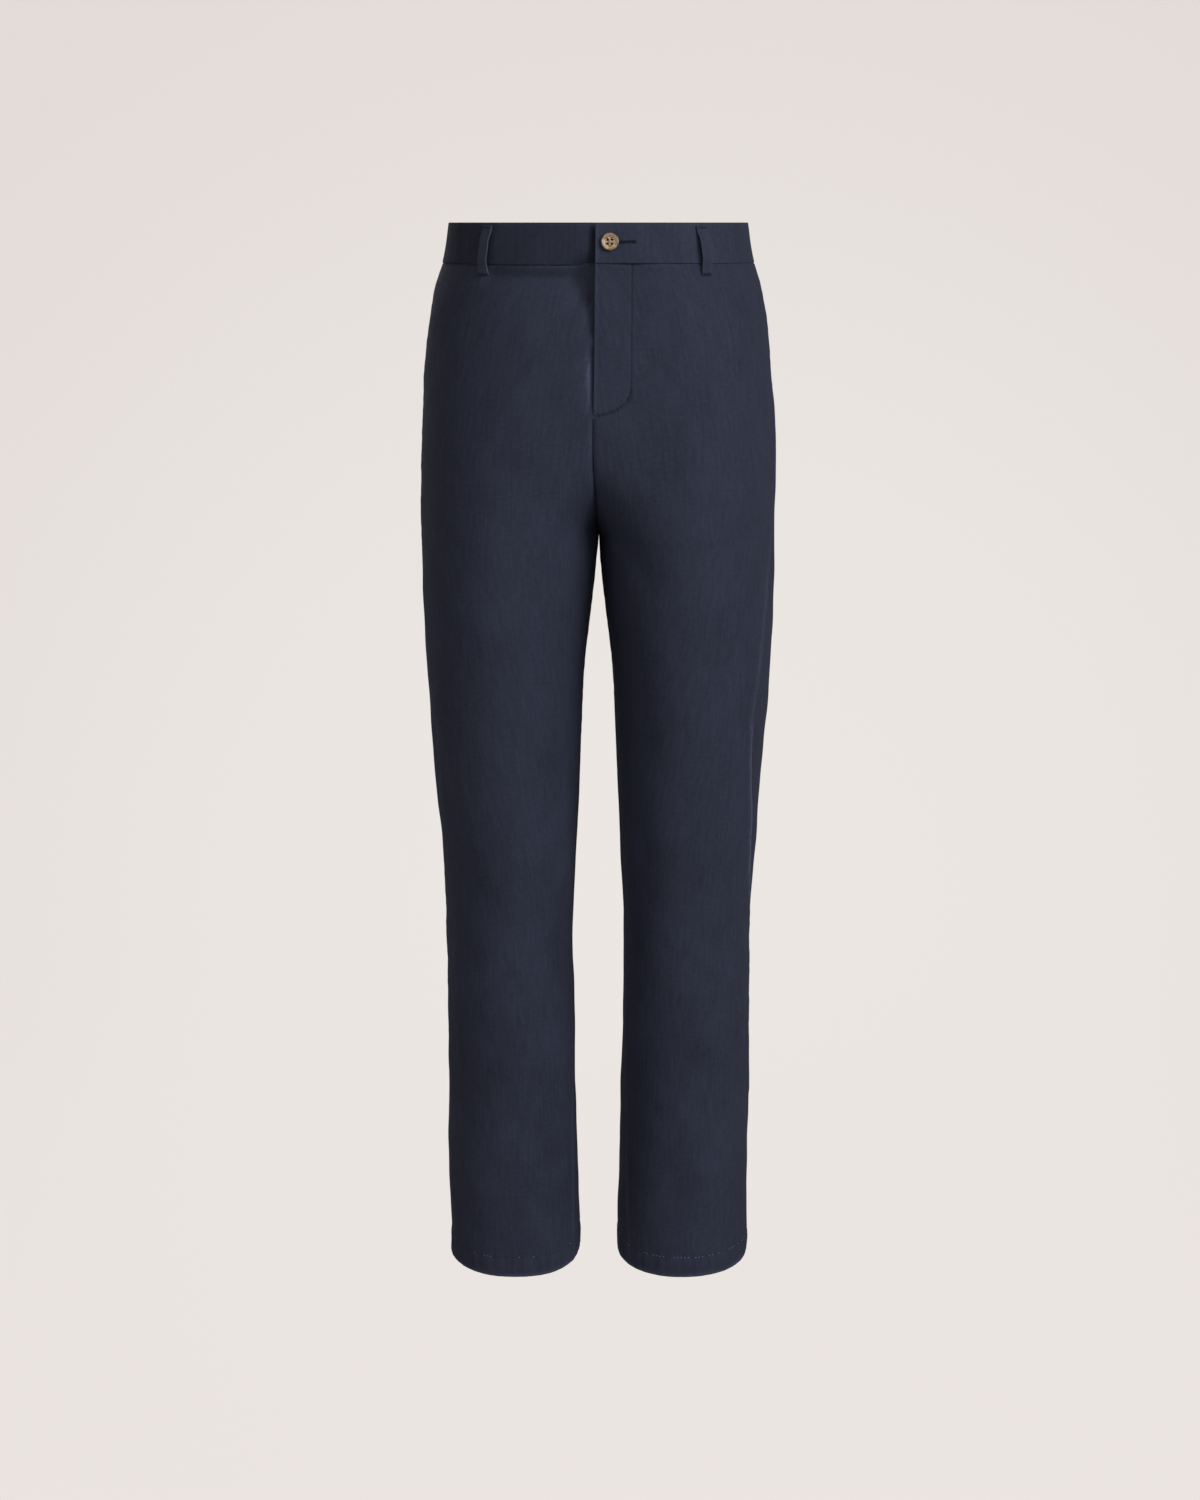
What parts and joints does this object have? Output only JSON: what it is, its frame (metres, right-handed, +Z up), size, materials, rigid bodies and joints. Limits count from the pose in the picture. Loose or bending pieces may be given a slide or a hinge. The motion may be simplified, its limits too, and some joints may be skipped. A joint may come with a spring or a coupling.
{
  "type": "chino trousers",
  "caption": "Tapered flat-front trousers, filled out and hollow, with a buttoned waistband, a lapped fly and belt loops.",
  "frame": {"origin": "centre of the waist opening, level with the waistband's top edge", "axes": "+Z up, -Y out of the front, +X towards the wearer's left"},
  "size_m": [0.3491, 0.2719, 1.0555],
  "materials": {
    "navy_twill": "fine cotton twill, soft and slightly lustrous",
    "button": "mottled horn brown, polished"
  },
  "bodies": {
    "root": {"front_left": "navy_twill", "front_right": "navy_twill", "back_left": "navy_twill", "back_right": "navy_twill", "waistband_left": "navy_twill", "waistband_right": "navy_twill", "fly_shield": "navy_twill", "loop_front_left": "navy_twill", "loop_front_right": "navy_twill", "loop_back_left": "navy_twill", "loop_back_right": "navy_twill", "loop_centre_back": "navy_twill", "button": "button"}
  },
  "joints": []
}
